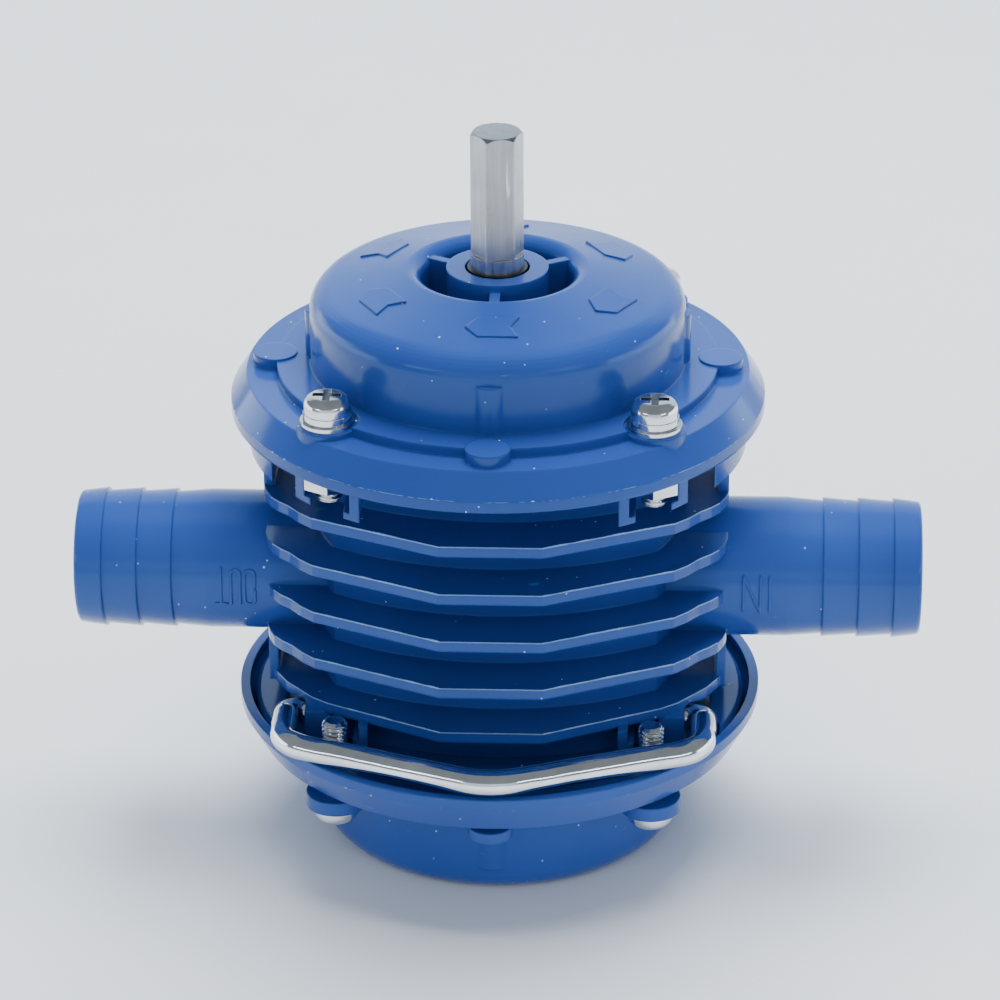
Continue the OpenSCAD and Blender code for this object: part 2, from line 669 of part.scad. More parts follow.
// Pan-head screw pointing down, its underside at zero, with a cross recess
module screw() difference() {
    union() {
        translate([0, 0, -screw_length]) cylinder(r = screw_r, h = screw_length);
        rotate_extrude() polygon(concat([[0, 0], [head_d / 2, 0], [head_d / 2, head_h * head_side_share]],
            arc(head_d / 2 - head_h * (1 - head_side_share), head_h * head_side_share,
                head_h * (1 - head_side_share), 0, 90, 5), [[0, head_h]]));
    }
    for (a = [0, 90]) rotate([0, 0, a]) translate([0, 0, head_h])
        cube([recess_l, recess_w, 2 * recess_depth], center = true);
}

module nut(z) at_screws() translate([0, 0, z]) rotate([0, 0, 30]) difference() {
    cylinder(r = nut_af / sqrt(3), h = nut_t, $fn = 6);
    translate([0, 0, -over]) cylinder(r = screw_r + fit_gap, h = nut_t + 2 * over);
}

module top_screws() color("silver") at_screws() translate([0, 0, head_z]) screw();

module top_flat_washers() color("silver") at_screws() translate([0, 0, lug_z])
    ring(flat_washer_r, screw_r + hole_gap, flat_washer_t);

module top_spring_washers() color("silver") at_screws() translate([0, 0, lug_z + flat_washer_t])
    difference() {
        ring(spring_washer_r, screw_r + hole_gap, spring_washer_t);
        rotate([0, 0, 200]) translate([0, -spring_washer_cut / 2, -over])
            cube([spring_washer_r + over, spring_washer_cut, spring_washer_t + 2 * over]);
    }

module top_nuts() color("silver") nut(top_flange_low - nut_t);

module bottom_screws() color("silver") at_screws() translate([0, 0, low_dome_h - low_lug_t])
    rotate([180, 0, 0]) screw();

module bottom_nuts() color("silver") nut(low_flange_top);

// Route of the wire from its front middle to the right-hand end, one straight and one bend after
// another. A step is [length, roll, bend radius, bend angle, rings]; a ring is [place, left, up].
front_run = (leg_x - front_bend_r * sin(front_angle) - corner_bend_r * (1 - sin(front_angle)))
    / cos(front_angle);
leg_back_y = -bail_reach + front_bend_r * (1 - cos(front_angle)) + front_run * sin(front_angle)
    + corner_bend_r * cos(front_angle);
dip_y = dip_bend_r * sin(dip_angle) + (dip_length + pin_bend_r) * cos(dip_angle);
leg_run = -pivot_y - leg_back_y - dip_y;
wire_steps = [[0, 0, front_bend_r, front_angle, 4], [front_run, 0, corner_bend_r, 90 - front_angle, 8],
    [leg_run, -90, dip_bend_r, dip_angle, 2], [dip_length, 0, pin_bend_r, 90, 9], [over, 0, 0, 0, 0]];

function wire_rings(place, ahead, left, up, i = 0) = i == len(wire_steps) ? [[place, left, up]] :
    let (s = wire_steps[i], from = place + s[0] * ahead,
        side = left * cos(s[1]) + up * sin(s[1]), high = up * cos(s[1]) - left * sin(s[1]),
        turned = side * cos(s[3]) - ahead * sin(s[3]))
    concat(i > 0 && s[3] > 0 ? [[from, left, up]] : [],
        [for (k = [1:1:s[4] - 1]) let (t = s[3] * k / s[4], out = side * cos(t) - ahead * sin(t))
            [from + s[2] * (side - out), out * cos(s[1]) - high * sin(s[1]),
                high * cos(s[1]) + out * sin(s[1])]],
        wire_rings(from + s[2] * (side - turned), ahead * cos(s[3]) + side * sin(s[3]),
            turned * cos(s[1]) - high * sin(s[1]), high * cos(s[1]) + turned * sin(s[1]), i + 1));

module wire_tube() {
    half = concat([[[0, -bail_reach, bail_z], [0, 1, 0], [0, 0, 1]]],
        wire_rings([0, -bail_reach, bail_z], [1, 0, 0], [0, 1, 0], [0, 0, 1]));
    n = len(half);
    r = wire_r - skin;
    rows = [for (k = [1 - n:n - 1]) let (h = half[abs(k)], flip = k < 0 ? -1 : 1)
        [for (q = [0:wire_sides - 1]) let (a = q * 360 / wire_sides,
            v = h[0] + r * (h[1] * cos(a) + h[2] * sin(a))) [flip * v[0], v[1], v[2]]]];
    m = len(rows);
    w = wire_sides;
    polyhedron([for (row = rows, v = row) v], concat([[for (q = [0:w - 1]) q]],
        [for (k = [0:m - 2], q = [0:w - 1]) let (a = k * w + q, b = k * w + (q + 1) % w) [a, a + w, b]],
        [for (k = [0:m - 2], q = [0:w - 1]) let (a = k * w + q, b = k * w + (q + 1) % w) [b, a + w, b + w]],
        [[for (q = [w - 1:-1:0]) (m - 1) * w + q]]), convexity = 6);
}

module wire_handle() color("gainsboro") {
    wire_tube();
    for (side = [0, 1]) mirror([side, 0, 0]) translate([bail_pin_end, -pivot_y, pivot_z])
        rotate([0, 90, 0]) cylinder(r = wire_r, h = leg_x - pin_bend_r - bail_pin_end);
}

pump_body();
top_cover();
bottom_cover();
top_gasket();
bottom_gasket();
wear_plate();
drive_shaft();
spacer_sleeve();
bearing_outer_ring();
bearing_inner_ring();
bearing_balls();
bearing_shields();
shaft_seal();
seal_spring();
retaining_ring();
lower_bush();
impeller();
drive_pin();
impeller_washer();
impeller_nut();
top_screws();
top_spring_washers();
top_flat_washers();
top_nuts();
bottom_screws();
bottom_nuts();
wire_handle();
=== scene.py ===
import math

import bmesh
import bpy
from mathutils import Matrix, Vector, noise


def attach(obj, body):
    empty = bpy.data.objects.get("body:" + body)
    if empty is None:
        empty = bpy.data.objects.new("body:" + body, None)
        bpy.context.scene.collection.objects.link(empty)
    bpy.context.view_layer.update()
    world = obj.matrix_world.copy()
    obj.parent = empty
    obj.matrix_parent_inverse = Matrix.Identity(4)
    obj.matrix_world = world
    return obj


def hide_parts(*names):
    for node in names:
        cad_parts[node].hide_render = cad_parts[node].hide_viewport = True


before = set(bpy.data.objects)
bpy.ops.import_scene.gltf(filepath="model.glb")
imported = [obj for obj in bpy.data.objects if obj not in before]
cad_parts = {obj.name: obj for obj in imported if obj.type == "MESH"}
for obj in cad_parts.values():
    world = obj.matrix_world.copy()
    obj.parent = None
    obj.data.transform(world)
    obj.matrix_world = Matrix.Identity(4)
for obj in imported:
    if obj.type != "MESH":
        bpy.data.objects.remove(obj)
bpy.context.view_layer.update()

# Sizes of the CAD that the pieces made here follow, all in mm
MM = 0.001
HOSE_Z = 42.95  # height of the hose ends' axis, and of the middle fin
HOSE_R = 10.75
SCREW_AT = 24.0416  # distance of each screw from the axis, along X and along Y
TOP_HEAD_Z, LOW_HEAD_Z = 79.15, 13.35  # undersides of the screws' heads
SCREW_LENGTH, CREST_R, ROOT_R, PITCH = 14.3, 1.99, 1.66, 0.7
FIN_STEP, FIN_HALF_T = 7.9, 0.875  # between the fins' middles, and half a fin's thickness
FIN_X, FIN_Y = 35.3, 28.9  # half the length and half the depth of the fins
RIM_R = 40.5
TOP_RIM_Z, LOW_RIM_Z = 72.50, 21.62  # the rims' edges that carry flash
WIRE_R = 2.04


# Materials: small helpers that add nodes and wire them up

def new_material(name):
    """A material with a Principled shader: (material, node tree, shader)."""
    m = bpy.data.materials.new(name)
    m.use_nodes = True
    t = m.node_tree
    t.nodes.clear()
    out = t.nodes.new("ShaderNodeOutputMaterial")
    b = t.nodes.new("ShaderNodeBsdfPrincipled")
    t.links.new(b.outputs[0], out.inputs[0])
    return m, t, b


def node(t, kind, **values):
    """A shader node, with values for its inputs or its own settings."""
    n = t.nodes.new("ShaderNode" + kind)
    for k, v in values.items():
        if k in n.inputs:
            n.inputs[k].default_value = v
        else:
            setattr(n, k, v)
    return n


def place(t, scale=(1, 1, 1), turn=(0, 0, 0)):
    """Object coordinates, turned and scaled."""
    c = t.nodes.new("ShaderNodeTexCoord")
    m = node(t, "Mapping")
    m.inputs["Rotation"].default_value = turn
    m.inputs["Scale"].default_value = scale
    t.links.new(c.outputs["Object"], m.inputs["Vector"])
    return m.outputs[0]


def grain(t, at, scale, detail=4, rough=0.5):
    n = node(t, "TexNoise", Scale=scale, Detail=detail, Roughness=rough)
    t.links.new(at, n.inputs["Vector"])
    return n.outputs["Fac"]


def ramp(t, value, stops):
    """A colour or grey for each of the stops (place, colour) of a value."""
    r = t.nodes.new("ShaderNodeValToRGB")
    e = r.color_ramp.elements
    while len(e) < len(stops):
        e.new(0.5)
    for k, (pos, c) in zip(e, stops):
        k.position = pos
        k.color = (*c, 1) if len(c) == 3 else (c[0], c[0], c[0], 1)
    t.links.new(value, r.inputs[0])
    return r.outputs[0]


def mix(t, fac, a, b, kind="MIX"):
    """Two colours mixed by a share. Each is a socket or a constant."""
    n = t.nodes.new("ShaderNodeMix")
    n.data_type = "RGBA"
    n.blend_type = kind
    for sock, v in ((n.inputs[0], fac), (n.inputs[6], a), (n.inputs[7], b)):
        if hasattr(v, "is_output"):
            t.links.new(v, sock)
        else:
            sock.default_value = v if isinstance(v, float) else (*v, 1)
    return n.outputs[2]


def bumps(t, b, layers, edge=0.0):
    """Chains bump layers (height, strength, distance) on a softened edge normal."""
    last = None
    if edge:
        e = node(t, "Bevel", samples=6)
        e.inputs["Radius"].default_value = edge
        last = e.outputs[0]
    for height, strength, distance in layers:
        n = t.nodes.new("ShaderNodeBump")
        n.inputs["Strength"].default_value = strength
        n.inputs["Distance"].default_value = distance
        t.links.new(height, n.inputs["Height"])
        if last:
            t.links.new(last, n.inputs["Normal"])
        last = n.outputs[0]
    if last:
        t.links.new(last, b.inputs["Normal"])


def specks(t, scale, size, share):
    """A mask of small round specks, one in a share of the cells."""
    v = node(t, "TexVoronoi", Scale=scale)
    t.links.new(place(t), v.inputs["Vector"])
    near = ramp(t, v.outputs["Distance"], [(size * 0.7, (1,)), (size, (0,))])
    pick = ramp(t, v.outputs["Color"], [(1 - share, (0,)), (1 - share + 0.01, (1,))])
    return mix(t, 1.0, near, pick, "MULTIPLY")


def blue_plastic(name="glossy_blue_plastic", low=(0.018, 0.054, 0.245), high=(0.026, 0.073, 0.315),
                 gloss=(0.13, 0.24)):
    m, t, b = new_material(name)
    at = place(t)
    tone = ramp(t, grain(t, at, 18, 3), [(0.35, low), (0.7, high)])
    # dust specks, and scuffs that run one way
    dust = mix(t, 1.0, specks(t, 230, 0.042, 0.35), specks(t, 520, 0.075, 0.28), "ADD")
    streak = ramp(t, grain(t, place(t, (1, 1, 6)), 215, 2, 0.4), [(0.755, (0,)), (0.80, (1,))])
    tone = mix(t, dust, tone, (0.50, 0.62, 0.80))
    t.links.new(mix(t, streak, tone, (0.04, 0.13, 0.38)), b.inputs["Base Color"])
    rough = ramp(t, grain(t, at, 60, 5, 0.65), [(0.3, (gloss[0],)), (0.75, (gloss[1],))])
    t.links.new(mix(t, dust, rough, (0.7, 0.7, 0.7)), b.inputs["Roughness"])
    b.inputs["IOR"].default_value = 1.52
    b.inputs["Specular IOR Level"].default_value = 0.42
    b.inputs["Specular Tint"].default_value = (0.50, 0.76, 1.0, 1)
    bumps(t, b, [(grain(t, at, 70, 2), 0.06, 0.0004), (grain(t, at, 1400, 2), 0.04, 0.00004),
                 (streak, 0.2, 0.00004), (dust, 0.4, 0.00004)], edge=0.00045)
    return m


def plated(name, tone, rough_lo, rough_hi, dent=0.1, edge=0.00012, scale=260):
    """Bright or dark metal with a faintly dented skin."""
    m, t, b = new_material(name)
    at = place(t)
    b.inputs["Metallic"].default_value = 1.0
    col = mix(t, ramp(t, grain(t, at, scale, 4), [(0.3, (0,)), (0.8, (1,))]), tone,
              tuple(c * 0.72 for c in tone))
    t.links.new(col, b.inputs["Base Color"])
    t.links.new(ramp(t, grain(t, at, scale * 2, 5, 0.7), [(0.3, (rough_lo,)), (0.8, (rough_hi,))]),
                b.inputs["Roughness"])
    bumps(t, b, [(grain(t, at, scale * 1.5, 3), dent, 0.0001),
                 (grain(t, at, 3500, 2), 0.06, 0.00003)], edge=edge)
    return m


def shaft_steel():
    """Bare steel with turning marks and slanted scratches."""
    m, t, b = new_material("scratched_shaft_steel")
    b.inputs["Metallic"].default_value = 1.0
    turned = grain(t, place(t, (60, 60, 1700)), 1, 3, 0.6)
    drag = grain(t, place(t, (1400, 1400, 110), (0.35, 0.5, 0.3)), 1, 4, 0.7)
    cross = grain(t, place(t, (1100, 1100, 60), (-0.5, -0.4, 0.2)), 1, 3, 0.6)
    col = mix(t, drag, (0.26, 0.255, 0.26), (0.78, 0.77, 0.765))
    cloud = ramp(t, grain(t, place(t, (70, 70, 45)), 1, 3, 0.6), [(0.35, (0,)), (0.65, (0.45,))])
    col = mix(t, cloud, col, (0.16, 0.158, 0.155))
    scratch = ramp(t, cross, [(0.66, (0,)), (0.71, (1,))])
    col = mix(t, scratch, col, (0.80, 0.79, 0.78))
    t.links.new(col, b.inputs["Base Color"])
    t.links.new(ramp(t, drag, [(0.3, (0.26,)), (0.8, (0.44,))]), b.inputs["Roughness"])
    bumps(t, b, [(drag, 0.35, 0.00005), (turned, 0.12, 0.00003), (scratch, 0.5, 0.00005)],
          edge=0.0002)
    return m


def rubber(name, tone):
    """A matt, finely grained skin."""
    m, t, b = new_material(name)
    at = place(t)
    t.links.new(mix(t, grain(t, at, 300, 4), tone, tuple(c * 1.8 + 0.004 for c in tone)),
                b.inputs["Base Color"])
    t.links.new(ramp(t, grain(t, at, 150, 3), [(0.3, (0.55,)), (0.8, (0.8,))]),
                b.inputs["Roughness"])
    bumps(t, b, [(grain(t, at, 1200, 3), 0.2, 0.00005)], edge=0.0002)
    return m


BLUE = blue_plastic()
# The flash's pale blue is partly the whitened plastic of torn flash and partly a painted glint
# along the fin and rim edges.
PALE_FLASH_AND_GLINT = blue_plastic("torn_flash_painted_glint", (0.22, 0.38, 0.72), (0.45, 0.60, 0.88), (0.15, 0.3))
ZINC = plated("bright_zinc_plate", (0.86, 0.87, 0.88), 0.10, 0.24)
WIRE = plated("bright_nickel_wire", (0.90, 0.905, 0.91), 0.07, 0.20, dent=0.3, edge=0.0, scale=180)
STEEL = shaft_steel()
RING = plated("polished_bearing_steel", (0.68, 0.69, 0.70), 0.12, 0.22)
DARK = plated("blackened_steel", (0.07, 0.07, 0.075), 0.3, 0.45)
RUBBER = rubber("black_rubber", (0.012, 0.012, 0.012))
BRONZE = plated("oiled_bronze", (0.55, 0.36, 0.17), 0.3, 0.45)
WHITE = rubber("matt_white_plastic", (0.40, 0.40, 0.39))

LOOKS = {"pump_body": BLUE, "top_cover": BLUE, "bottom_cover": BLUE, "top_gasket": RUBBER,
         "bottom_gasket": RUBBER, "shaft_seal": RUBBER, "wear_plate": RING, "drive_shaft": STEEL,
         "spacer_sleeve": DARK, "bearing_outer_ring": RING, "bearing_inner_ring": RING,
         "bearing_balls": RING, "bearing_shields": RING, "seal_spring": RING,
         "retaining_ring": DARK, "lower_bush": BRONZE, "impeller": WHITE, "drive_pin": RING,
         "impeller_washer": ZINC, "impeller_nut": ZINC, "top_screws": ZINC,
         "top_spring_washers": ZINC, "top_flat_washers": ZINC, "top_nuts": ZINC,
         "bottom_screws": ZINC, "bottom_nuts": ZINC, "wire_handle": WIRE}
for name, look in LOOKS.items():
    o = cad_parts[name]
    if not o.material_slots:
        o.data.materials.append(look)
    for s in o.material_slots:
        s.material = look


# Pieces made here: each rides on the CAD body that carries it

def add_mesh(name, verts, faces, look, smooth=True):
    """An object of these faces, all turned outwards."""
    me = bpy.data.meshes.new(name)
    me.from_pydata([tuple(v) for v in verts], [], [tuple(f) for f in faces])
    me.validate()
    bm = bmesh.new()
    bm.from_mesh(me)
    bmesh.ops.recalc_face_normals(bm, faces=bm.faces)
    bm.to_mesh(me)
    bm.free()
    if smooth:
        me.polygons.foreach_set("use_smooth", [True] * len(me.polygons))
    me.materials.append(look)
    o = bpy.data.objects.new(name, me)
    bpy.context.scene.collection.objects.link(o)
    return o


def tube(rows, endless=False):
    """Vertices and faces of a skin over equal rings of points, with closed ends or none at all."""
    n, m = len(rows[0]), len(rows)
    verts = [v for row in rows for v in row]
    faces = [(k * n + q, k * n + (q + 1) % n, (k + 1) % m * n + (q + 1) % n, (k + 1) % m * n + q)
             for k in range(m if endless else m - 1) for q in range(n)]
    if not endless:
        faces += [tuple(range(n - 1, -1, -1)), tuple(range((m - 1) * n, m * n))]
    return verts, faces


SCREWS = [(sx * SCREW_AT, sy * SCREW_AT) for sx in (-1, 1) for sy in (-1, 1)]


def threaded(node_name, piece_name, under, sign):
    """The CAD heads with their recess, on shanks with a cut thread, which run down if sign is 1."""
    plain, blunt, cut, around = 0.3, 0.45, 0.25, 28
    steps = int(SCREW_LENGTH / PITCH * 8)
    bm = bmesh.new()
    bm.from_mesh(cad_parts[node_name].data)

    def on_shank(v):
        x, y, z = v.co / MM
        r = min(math.hypot(x - a, y - b) for a, b in SCREWS)
        return r < CREST_R + 0.06 and (z - under) * sign < 0.02

    bmesh.ops.delete(bm, geom=[f for f in bm.faces if all(on_shank(v) for v in f.verts)],
                     context="FACES")
    bmesh.ops.remove_doubles(bm, verts=bm.verts, dist=1e-7)
    bmesh.ops.holes_fill(bm, edges=[e for e in bm.edges if e.is_boundary], sides=0)
    me = bpy.data.meshes.new(piece_name)
    bm.to_mesh(me)
    bm.free()
    verts = [tuple(v.co) for v in me.vertices]
    faces = [tuple(f.vertices) for f in me.polygons]
    count = len(faces)
    for a, b in SCREWS:
        rows = []
        for k in range(steps + 1):
            d = SCREW_LENGTH * k / steps
            end = min(1.0, (SCREW_LENGTH - d) / blunt)
            row = []
            for q in range(around):
                w = 2 * math.pi * q / around
                phase = (d / PITCH - w / (2 * math.pi)) % 1.0
                tooth = min(1.0, max(0.0, 1.5 * (1 - abs(2 * phase - 1)) - 0.2))
                r = ROOT_R + (CREST_R - ROOT_R) * tooth
                r = CREST_R if d < plain else min(r, ROOT_R - cut + end * (CREST_R - ROOT_R + cut))
                row.append((MM * (a + r * math.cos(w)), MM * (b + r * sign * math.sin(w)),
                            MM * (under - sign * d)))
            rows.append(row)
        v, f = tube(rows)
        base = len(verts)
        verts += v
        faces += [tuple(base + i for i in q) for q in f]
    o = add_mesh(piece_name, verts, faces, ZINC, smooth=False)
    flags = [False] * count + [True] * (len(o.data.polygons) - count)
    o.data.polygons.foreach_set("use_smooth", flags)
    o.data.set_sharp_from_angle(angle=math.radians(35))
    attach(o, "housing")
    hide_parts(node_name)


threaded("top_screws", "top_screws_threaded", TOP_HEAD_Z, 1)
threaded("bottom_screws", "bottom_screws_threaded", LOW_HEAD_Z, -1)


def bail_route():
    """The wire's middle line, from the front middle to the right-hand end, as (place, left, up)."""
    reach, leg_x, pivot_y, z, pin_length = 38.9, 32.0, 15.2, 25.43, 3.8
    front_turn, front_r, corner_r = math.radians(21), 12.0, 5.5
    dip_turn, dip_r, dip_run, pin_r = math.radians(15), 3.0, 1.0, 2.6
    sin_f, cos_f = math.sin(front_turn), math.cos(front_turn)
    run = (leg_x - front_r * sin_f - corner_r * (1 - sin_f)) / cos_f
    back = -reach + front_r * (1 - cos_f) + run * sin_f + corner_r * cos_f
    dip = dip_r * math.sin(dip_turn) + (dip_run + pin_r) * math.cos(dip_turn)
    # each step is a straight length, a roll, and then a bend's radius and turn
    steps = [(0, 0, front_r, front_turn), (run, 0, corner_r, math.pi / 2 - front_turn),
             (-pivot_y - back - dip, -math.pi / 2, dip_r, dip_turn),
             (dip_run, 0, pin_r, math.pi / 2), (pin_length, 0, 0, 0)]
    at, ahead = Vector((0, -reach, z)), Vector((1, 0, 0))
    left, up = Vector((0, 1, 0)), Vector((0, 0, 1))
    out = [(at.copy(), left.copy(), up.copy())]
    for length, roll, radius, turn in steps:
        n = max(1, int(length / 0.5))
        for k in range(1, n + 1):
            if length:
                out.append((at + ahead * (length * k / n), left.copy(), up.copy()))
        at = at + ahead * length
        side = left * math.cos(roll) + up * math.sin(roll)
        high = up * math.cos(roll) - left * math.sin(roll)
        n = max(1, int(turn / math.radians(3.5)))
        for k in range(1, n + 1):
            if turn:
                w = turn * k / n
                o = side * math.cos(w) - ahead * math.sin(w)
                out.append((at + (side - o) * radius, o * math.cos(roll) - high * math.sin(roll),
                            high * math.cos(roll) + o * math.sin(roll)))
        turned = side * math.cos(turn) - ahead * math.sin(turn)
        at = at + (side - turned) * radius
        ahead = ahead * math.cos(turn) + side * math.sin(turn)
        left = turned * math.cos(roll) - high * math.sin(roll)
        up = high * math.cos(roll) + turned * math.sin(roll)
    return out


def bail_wire():
    """The bail with the marks of its bending: each dent is a place, a width and a depth."""
    half = bail_route()
    dents = [(31.0, -26.5, 25.4, 1.5, 0.30), (33.2, -23.5, 25.4, 1.3, 0.34),
             (27.5, -29.3, 27.2, 2.2, 0.22), (-31.3, -26.3, 25.9, 1.4, 0.32),
             (-33.4, -24.0, 25.4, 1.2, 0.30), (-26.0, -30.0, 27.2, 2.6, 0.22),
             (8.0, -37.5, 27.2, 2.5, 0.12), (-14.0, -35.5, 27.2, 3.0, 0.10)]
    n = 40
    rows = []
    for k in range(1 - len(half), len(half)):
        at, left, up = half[abs(k)]
        flip = -1 if k < 0 else 1
        row = []
        for q in range(n):
            w = 2 * math.pi * q / n
            out = left * math.cos(w) + up * math.sin(w)
            v = at + out * WIRE_R
            v.x *= flip
            push = sum(h * math.exp(-((v.x - x) ** 2 + (v.y - y) ** 2 + (v.z - z) ** 2) / (s * s))
                       for x, y, z, s, h in dents)
            push += 0.02 * max(0.0, noise.noise(v * 0.35))
            o = Vector((out.x * flip, out.y, out.z))
            row.append(tuple((v - o * push) * MM))
        rows.append(row)
    verts, faces = tube(rows)
    o = add_mesh("bail_wire", verts, faces, WIRE)
    o.data.set_sharp_from_angle(angle=math.radians(50))
    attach(o, "bail")
    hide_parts("wire_handle")


bail_wire()


def ridge(points, outs, width, height):
    """Half-round ridge along a line of points, each with the way it stands out."""
    rows = []
    n = len(points)
    for i, (p, o) in enumerate(zip(points, outs)):
        way = (points[min(i + 1, n - 1)] - points[max(i - 1, 0)]).normalized()
        side = way.cross(o).normalized()
        end = min(i, n - 1 - i)
        grow = 0.35 if end == 0 else 0.8 if end == 1 else 1.0
        row = []
        for k in range(9):
            a = math.pi * k / 8
            row.append(tuple((p + side * (math.cos(a) * width / 2 * grow)
                              + o * (math.sin(a) ** 0.8 * height * grow)) * MM))
        row.append(tuple((p - side * width / 2 * grow - o * 0.12) * MM))
        row.append(tuple((p + side * width / 2 * grow - o * 0.12) * MM))
        rows.append(row)
    return tube(rows)


def join(name, parts, look):
    """One piece of several skins, on the housing."""
    verts, faces = [], []
    for v, f in parts:
        base = len(verts)
        verts += v
        faces += [tuple(base + i for i in q) for q in f]
    o = add_mesh(name, verts, faces, look)
    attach(o, "housing")


MM_PER_DEGREE = 0.19  # round a hose end


def letters(name, strokes):
    """Raised letters on a hose end. A stroke lists (place along X, degrees up the front)."""
    grain_mm, width, height = 0.18, 0.5, 0.2
    parts = []
    for stroke in strokes:
        fine = []
        for (x0, a0), (x1, a1) in zip(stroke, stroke[1:]):
            n = max(2, int(math.hypot(x1 - x0, (a1 - a0) * MM_PER_DEGREE) / grain_mm))
            fine += [(x0 + (x1 - x0) * k / n, a0 + (a1 - a0) * k / n) for k in range(n)]
        fine.append(stroke[-1])
        outs = [Vector((0, -math.cos(math.radians(a)), math.sin(math.radians(a)))) for _, a in fine]
        points = [Vector((x, 0, HOSE_Z)) + o * HOSE_R for (x, _), o in zip(fine, outs)]
        parts.append(ridge(points, outs, width, height))
    join(name, parts, BLUE)


def loop(x, low, high, half, turns, n=24):
    """Part of a long oval, in turns from its right-hand side."""
    mid = (low + high) / 2
    bend = half / MM_PER_DEGREE
    out = []
    for k in range(n + 1):
        a = 2 * math.pi * (turns[0] + (turns[1] - turns[0]) * k / n)
        s = math.sin(a)
        straight = math.copysign((high - low) / 2 - bend, s) if abs(s) > 1e-6 else 0
        out.append((x + half * math.cos(a), mid + bend * s + straight))
    return out


# The letters stand on their heads, as in the photograph
bow = loop(-39.95, -16, 16.5, 0.7, (0.5, 0.0))[1:-1]
letters("raised_out", [[(-42.2, 19.5), (-42.2, -14.5)], [(-43.3, -14.5), (-41.1, -14.5)],
                       [(-40.65, -16)] + bow + [(-39.25, -16)],
                       loop(-37.75, -14.5, 16.2, 0.8, (0.0, 1.0))])
letters("raised_in", [[(37.75, -15.5), (37.75, 18.0), (40.35, -15.5), (40.35, 18.5)],
                      [(41.75, 18.5), (41.75, -15.5)]])

# A quarter of a fin's outline, and of the lowest fin's, as shares of FIN_X and FIN_Y
FIN = [(0.221, 1), (0.771, 0.689), (0.83, 0.62), (0.878, 0.543), (0.925, 0.49), (0.963, 0.433),
       (0.988, 0.36), (1, 0.294)]
LOW_FIN = [(0.221, 0.976), (0.632, 0.727), (0.72, 0.672), (0.793, 0.606), (0.918, 0.426),
           (0.969, 0.311), (0.992, 0.225), (1, 0.104)]


def fin_flash():
    """Torn moulding flash along the fins' upper edges, jagged where the edge runs aslant."""
    grain_mm, tooth_mm, up = 0.13, 0.46, Vector((0, 0, 1))
    parts = []
    for i in range(-2, 3):
        top = HOSE_Z + i * FIN_STEP + FIN_HALF_T
        shares = LOW_FIN if i == -2 else FIN
        for sx in (-1, 1):
            for sy in (-1, 1):
                line = [(0.0, -shares[0][1] * FIN_Y)]
                line += [(x * FIN_X, -y * FIN_Y) for x, y in shares[:-2]]
                pts, outs, tall = [], [], []
                for j, ((x0, y0), (x1, y1)) in enumerate(zip(line, line[1:])):
                    n = max(1, int(math.hypot(x1 - x0, y1 - y0) / grain_mm))
                    nx, ny = (y1 - y0), -(x1 - x0)
                    size = math.hypot(nx, ny)
                    for k in range(n):
                        x, y = x0 + (x1 - x0) * k / n, y0 + (y1 - y0) * k / n
                        s = noise.noise(Vector((x * 0.45 + 9 * i, y * 0.3, sx * 3 + sy)))
                        tooth = (k * grain_mm / tooth_mm) % 1.0
                        jag = 0.07 + 0.15 * tooth if j == 1 else 0.04 + 0.02 * tooth
                        if j == 0:
                            jag *= 0.25
                        pts.append(Vector((sx * x, -sy * y, top - 0.03)))
                        outs.append(Vector((sx * nx / size, -sy * ny / size, 0)))
                        tall.append(max(0.0, jag * (0.75 + 1.1 * s)))
                rows = []
                for p, o, h in zip(pts, outs, tall):
                    row = [p - o * 0.12 - up * 0.12, p + o * 0.02 - up * 0.12,
                           p + o * (0.02 + h * 0.8), p + o * (0.01 + h * 0.5) + up * (0.03 + h),
                           p - o * 0.05 + up * (0.03 + h * 0.6), p - o * 0.14]
                    rows.append([tuple(v * MM) for v in row])
                parts.append(tube(rows))
    # The flash's pale colour also paints a glint along the fins' upper edges.
    join("fin_moulding_flash", parts, PALE_FLASH_AND_GLINT)


fin_flash()


def rim_flash(name, z, seed, up):
    """Fine uneven line of flash round a rim's edge, with a few small burrs."""
    rows = []
    n = 900
    burrs = {int(n * (0.5 + 0.5 * noise.noise(Vector((k * 3.7, seed, 1.3))))): 0.22
             for k in range(14)}
    for k in range(n):
        a = 2 * math.pi * k / n
        s = noise.noise(Vector((math.cos(a) * 9, math.sin(a) * 9, seed)))
        f = noise.noise(Vector((math.cos(a) * 60, math.sin(a) * 60, seed + 5)))
        h = max(0.012, 0.035 + 0.05 * s + 0.05 * f) + burrs.get(k, 0)
        row = []
        for dr, dz in ((-0.12, 0.0), (0.0, -0.1), (0.025 + 0.2 * h, 0.2 * h), (0.02, h),
                       (-0.08, 0.5 * h)):
            r = RIM_R + dr
            row.append((MM * r * math.cos(a), MM * r * math.sin(a), MM * (z + up * dz)))
        rows.append(row)
    # The flash's pale colour also paints a glint round the rim's edge.
    join(name, [tube(rows, endless=True)], PALE_FLASH_AND_GLINT)


rim_flash("upper_rim_flash", TOP_RIM_Z, 2.0, 1)
rim_flash("lower_rim_flash", LOW_RIM_Z, 7.0, -1)


# Camera: placed from the fit to the photograph's circles

cam = bpy.data.cameras.new("camera")
cam.sensor_width = 36
cam.lens = 162.598
cam.shift_x = 0.00101
cam.shift_y = 0.0616
cam.clip_end = 10
camera = bpy.data.objects.new("camera", cam)
camera.matrix_world = Matrix(((0.99905764, -0.01485656, 0.04078126, 0.02854688),
                              (0.04313178, 0.44472612, -0.89462748, -0.62623924),
                              (-0.0048454, 0.89554339, 0.44494781, 0.35441347), (0, 0, 0, 1)))
bpy.context.scene.collection.objects.link(camera)
bpy.context.scene.camera = camera


# Floor and light

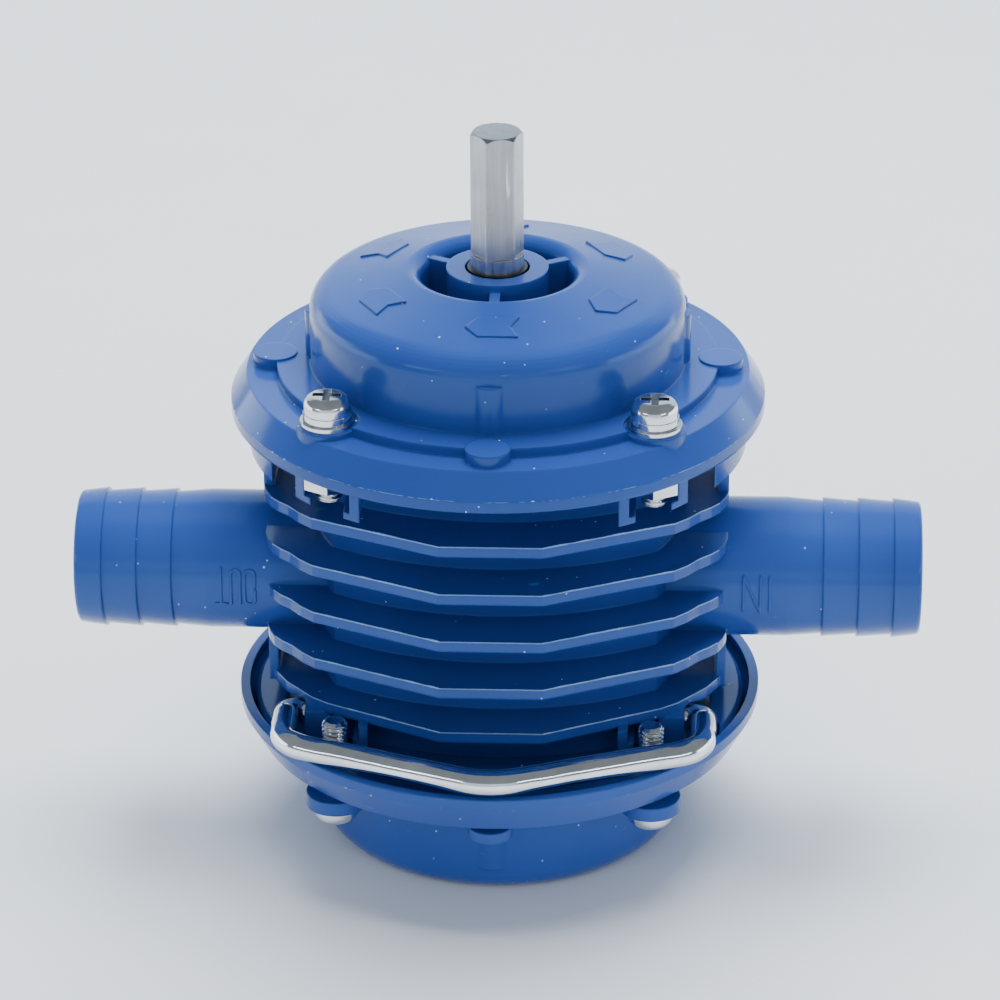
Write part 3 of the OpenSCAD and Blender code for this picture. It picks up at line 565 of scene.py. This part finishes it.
def floor():
    """A pale floor that curves up behind."""
    m, t, b = new_material("pale_floor")
    at = place(t)
    t.links.new(mix(t, grain(t, at, 30, 3), (0.76, 0.79, 0.82), (0.80, 0.83, 0.86)),
                b.inputs["Base Color"])
    b.inputs["Roughness"].default_value = 0.6
    s = 3.0
    n = 24
    back = [(0.9 + 0.5 * math.sin(a), 0.5 - 0.5 * math.cos(a))
            for a in [math.pi / 2 * k / n for k in range(n + 1)]]
    prof = [(-s, 0.0)] + back + [(1.4, 3.0)]
    verts = [(x, y, z) for y, z in prof for x in (-s, s)]
    faces = [(2 * k, 2 * k + 1, 2 * k + 3, 2 * k + 2) for k in range(len(prof) - 1)]
    o = add_mesh("floor", verts, faces, m)
    o.location.z = -0.0001


def area(name, size, at, to, power, tint, height=None, shines=True):
    """An area light aimed at a point, seen in reflections only if it shines."""
    d = bpy.data.lights.new(name, "AREA")
    d.size = size
    if height:
        d.shape = "RECTANGLE"
        d.size_y = height
    d.energy = power
    d.color = tint
    o = bpy.data.objects.new(name, d)
    o.location = at
    o.rotation_euler = (Vector(to) - Vector(at)).to_track_quat("-Z", "Y").to_euler()
    o.visible_camera = False
    o.visible_glossy = shines
    bpy.context.scene.collection.objects.link(o)


# Bright panels at the sides and behind, soft light from above and in front that gives no glare
floor()
middle = (0, 0, 0.05)
area("overhead", 0.7, (0.05, 0.22, 0.85), middle, 18.0, tint=(0.97, 0.98, 1), shines=False)
area("front_soft", 0.9, (0, -0.80, 0.50), middle, 3.6, tint=(0.92, 0.96, 1), shines=False)
area("back_panel", 1.5, (0, 0.62, 0.33), (0, 0, 0.12), 2.7, tint=(0.66, 0.86, 1), height=0.6)
area("left_panel", 0.8, (-0.62, 0.15, 0.10), middle, 1.4, tint=(0.75, 0.88, 1), height=0.18)
area("right_panel", 0.8, (0.62, 0.12, 0.10), middle, 1.5, tint=(0.75, 0.88, 1), height=0.18)
area("front_low", 1.0, (0, -0.80, 0.16), middle, 0.6, tint=(0.70, 0.86, 1), height=0.24)
area("left_strip", 0.30, (-0.55, -0.60, 0.27), middle, 0.45, tint=(0.8, 0.9, 1), height=0.05)
area("right_strip", 0.30, (0.55, -0.60, 0.27), middle, 0.45, tint=(0.8, 0.9, 1), height=0.05)
world = bpy.data.worlds.new("studio")
world.use_nodes = True
world.node_tree.nodes["Background"].inputs[0].default_value = (0.80, 0.90, 1.0, 1)
world.node_tree.nodes["Background"].inputs[1].default_value = 0.29
bpy.context.scene.world = world
